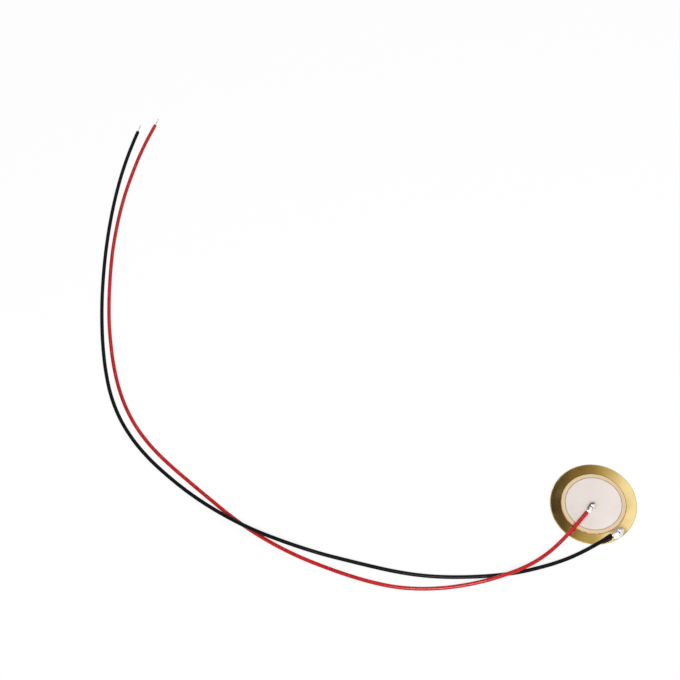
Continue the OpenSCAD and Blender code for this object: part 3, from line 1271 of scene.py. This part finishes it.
@dataclass
class Studio:
    """A plain white table under soft light, with the camera above it.

    Each band is where one tone gives way to the next, by the upward share of a direction. The edge
    of the dark strip is where it does so round the horizon, by the wave that peaks at its heading.
    """

    camera_at: Point = (-0.07882, -0.21167, 0.48728)
    pitch_down: float = 61.0
    lens: float = 90.0
    sensor: float = 36.0
    clip: Band = (0.005, 50.0)
    table: float = 6.0
    table_z: float = -0.00001
    table_white: float = 0.6
    table_rough: float = 0.7
    table_shine: float = 0.1
    camera_white: float = 0.75
    camera_strength: float = 1.13
    panels: int = 3
    panel_heading: float = 45.0
    panel_tones: tuple[Stop, ...] = (
        (0.22, (0.03, 0.02, 0.01)),
        (0.36, (0.16, 0.115, 0.05)),
        (0.52, (0.26, 0.20, 0.088)),
        (0.72, (0.50, 0.41, 0.20)),
        (0.87, (0.98, 0.96, 0.90)),
        (1.0, (1.06, 1.04, 1.02)),
    )
    dark_heading: float = 114.0
    dark_edge: Band = (0.60, 0.77)
    dark_tone: Colour = (0.13, 0.09, 0.052)
    low_tone: Colour = (0.72, 0.71, 0.70)
    wall_band: Band = (0.62, 0.78)
    wall_tone: Colour = (0.86, 0.84, 0.87)
    panel_band: Band = (0.80, 0.865)
    overhead_band: Band = (0.94, 0.99)
    overhead_tone: Colour = (0.84, 0.83, 0.84)
    light_band: Band = (-0.1, 0.9)
    low_light: Colour = (0.15, 0.15, 0.16)
    high_light: Colour = (0.46, 0.46, 0.47)
    lamps: tuple[Lamp, ...] = (
        Lamp("key", (0.0, -0.62, 0.78), 0.34, 7.6),
        Lamp("edge", (0.41, 0.15, 0.85), 0.15, 0.55),
        Lamp("back", (-0.06, 0.435, 0.6), 0.11, 0.3),
    )

    def camera(self) -> None:
        """Places the camera, which looks along +Y and down at the leads' sweep."""
        data = bpy.data.cameras.new("camera")
        data.lens = self.lens
        data.sensor_width = self.sensor
        data.clip_start, data.clip_end = self.clip
        camera = in_scene("camera", data)
        camera.location = self.camera_at
        camera.rotation_euler = (math.radians(90 - self.pitch_down), 0, 0)
        bpy.context.scene.camera = camera

    def floor(self) -> None:
        """Lays the table, which keeps the shadows and shows white to the camera."""
        bm = bmesh.new()
        bmesh.ops.create_grid(bm, x_segments=1, y_segments=1, size=self.table / 2)
        mesh = bpy.data.meshes.new("table")
        bm.to_mesh(mesh)
        bm.free()
        floor = in_scene("table", mesh)
        floor.location.z = self.table_z
        material = bpy.data.materials.new("white table")
        material.use_nodes = True
        graph = Graph(material.node_tree)
        nodes = material.node_tree.nodes
        shader = nodes["Principled BSDF"]
        graph.put((self.table_white,) * 3, shader.inputs["Base Color"])
        graph.put(self.table_rough, shader.inputs["Roughness"])
        graph.put(self.table_shine, shader.inputs["Specular IOR Level"])
        inputs = {"Color": WHITE, "Strength": self.camera_strength}
        white = graph.add("ShaderNodeEmission", inputs)
        path = graph.add("ShaderNodeLightPath")
        seen = graph.math("MAXIMUM", path.outputs["Is Camera Ray"], path.outputs["Is Glossy Ray"])
        share = graph.math("MULTIPLY", seen, self.camera_white)
        inputs = {"Fac": share, 1: shader.outputs["BSDF"], 2: white.outputs["Emission"]}
        mixed = graph.add("ShaderNodeMixShader", inputs)
        graph.put(mixed.outputs["Shader"], nodes["Material Output"].inputs["Surface"])
        mesh.materials.append(material)

    def world(self) -> None:
        """Sets the soft surrounding light, and what metal sees in it."""
        world = bpy.data.worlds.new("studio")
        world.use_nodes = True
        bpy.context.scene.world = world
        graph = Graph(world.node_tree)
        direction = graph.add("ShaderNodeTexCoord").outputs["Generated"]
        sides = graph.add("ShaderNodeSeparateXYZ", {0: direction}).outputs
        around = graph.math("ARCTAN2", sides["Y"], sides["X"])
        height = sides["Z"]
        bright = self.wave(graph, around, self.panel_heading, self.panels)
        panel = graph.ramp(bright, self.panel_tones)
        dark = graph.span(self.wave(graph, around, self.dark_heading, 1), *self.dark_edge)
        tone = graph.mix(dark, self.low_tone, self.dark_tone)
        tone = graph.mix(graph.span(height, *self.wall_band), tone, self.wall_tone)
        tone = graph.mix(graph.span(height, *self.panel_band), tone, panel)
        tone = graph.mix(graph.span(height, *self.overhead_band), tone, self.overhead_tone)
        light = graph.mix(graph.span(height, *self.light_band), self.low_light, self.high_light)
        path = graph.add("ShaderNodeLightPath")
        colour = graph.mix(path.outputs["Is Glossy Ray"], light, tone)
        colour = graph.mix(path.outputs["Is Camera Ray"], colour, WHITE)
        background = world.node_tree.nodes["Background"]
        graph.put(colour, background.inputs["Color"])
        graph.put(1.0, background.inputs["Strength"])

    @staticmethod
    def wave(graph: Graph, around: object, peak: float, count: int) -> NodeSocket:
        """Makes a wave round the horizon.

        Args:
            graph: The world's graph.
            around: The heading of a direction, in radians.
            peak: A heading where the wave is 1, in degrees.
            count: How many peaks it has.

        Returns:
            The wave: 1 at each peak, 0 halfway between.
        """
        turn = graph.math("SUBTRACT", around, math.radians(peak))
        wave = graph.math("COSINE", graph.math("MULTIPLY", turn, float(count)))
        return graph.math("MULTIPLY", graph.math("ADD", wave, 1.0), 0.5)

    def build(self) -> None:
        """Sets the whole studio up, the camera first."""
        self.camera()
        self.floor()
        self.world()
        for lamp in self.lamps:
            lamp.hang()
        bpy.context.scene.view_settings.view_transform = "Standard"


# ---- The part ----


def node_top(name: str) -> float:
    """Returns the height of a CAD node's highest point, in metres."""
    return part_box(name)[1].z


def plan_leads(effects: Effects) -> tuple[Lead, Lead]:
    """Describes both leads.

    Args:
        effects: The shared effects.

    Returns:
        The red lead and the black one, not yet built.
    """
    red = Insulation(
        "red PVC",
        effects,
        colour=(0.52, 0.004, 0.007),
        shade=(0.38, 0.002, 0.004),
        rub=(0.62, 0.05, 0.045),
        gloss=0.22,
        shine=0.3,
    )
    black = Insulation(
        "black PVC",
        effects,
        colour=(0.004, 0.004, 0.005),
        shade=(0.003, 0.003, 0.004),
        rub=(0.015, 0.015, 0.017),
        gloss=0.26,
        shine=0.1,
    )
    tinned = TinnedCopper("tinned copper", effects).material()
    red_lead = Lead(
        "red_wire",
        RED_ROUTE,
        nodes=("red_lead", "red_strands", "red_tinned_end"),
        length=0.289,
        jacket=red.material(),
        metal=tinned,
        slot=Slot.RED,
        swell=0.06,
        floor=node_top("top_electrode") + END_GAP,
        reach=0.05,
    )
    black_lead = Lead(
        "black_wire",
        BLACK_ROUTE,
        nodes=("black_lead", "black_strands", "black_tinned_end"),
        length=0.288,
        jacket=black.material(),
        metal=tinned,
        slot=Slot.BLACK,
        swell=0.42,
        floor=node_top("brass_plate") + END_GAP,
        reach=0.3,
    )
    return red_lead, black_lead


def plan_joints(effects: Effects, red_lead: Lead, black_lead: Lead) -> tuple[SolderJoint, ...]:
    """Describes both solder joints.

    Args:
        effects: The shared effects.
        red_lead: The lead of the centre joint.
        black_lead: The lead of the rim joint.

    Returns:
        The centre joint and the rim one, not yet built.
    """
    centre = red_lead.start @ Vector((CENTRE_JOINT_BEHIND, 0, 0))
    centre.z = node_top("top_electrode")
    rim_heading = math.radians(RIM_JOINT_HEADING)
    rim = Matrix.Rotation(rim_heading, 3, "Z") @ Vector((RIM_JOINT_R, 0, 0))
    rim.z = node_top("brass_plate")
    rim_place = along_x(rim_heading - math.pi / 2 + math.radians(RIM_JOINT_SKEW), rim)
    burnt = tuple(tuple(rim_place @ (Vector((x, y, DIMPLE_Z)) * MM)) for x, y, _ in RIM_DIMPLES)
    satin = Solder("satin solder", effects, metal=0.7, shiny=0.28, satin=0.45, dimples=burnt)
    centre_joint = SolderJoint(
        "centre_drop",
        "centre_solder",
        red_lead,
        Solder("shiny solder", effects).material(),
        along_x(red_lead.start_heading, centre),
        nose=2.2,
        back=1.7,
        seed=3.0,
    )
    rim_joint = SolderJoint(
        "rim_drop",
        "rim_solder",
        black_lead,
        satin.material(),
        rim_place,
        nose=2.4,
        back=2.2,
        seed=8.0,
        half_width=1.4,
        height=1.0,
        dimples=RIM_DIMPLES,
        lump=0.15,
        neck_near=0.46,
        neck_far=0.6,
    )
    return centre_joint, rim_joint


def report(pieces: Sequence[Object]) -> None:
    """Reports each piece with the number of its faces."""
    for piece in pieces:
        LOG.info("%s: %d faces", piece.name, len(piece.data.polygons))


def main() -> None:
    """Builds the studio and the part."""
    logging.basicConfig(level=logging.INFO, format="%(message)s")
    Studio().build()
    effects = Effects()
    leads = plan_leads(effects)
    for lead in leads:
        report(lead.build())
    joints = plan_joints(effects, *leads)
    for joint in joints:
        report([joint.build()])
    report(Disc(effects, *(joint.place.translation for joint in joints)).build())


if __name__ == "__main__":
    main()
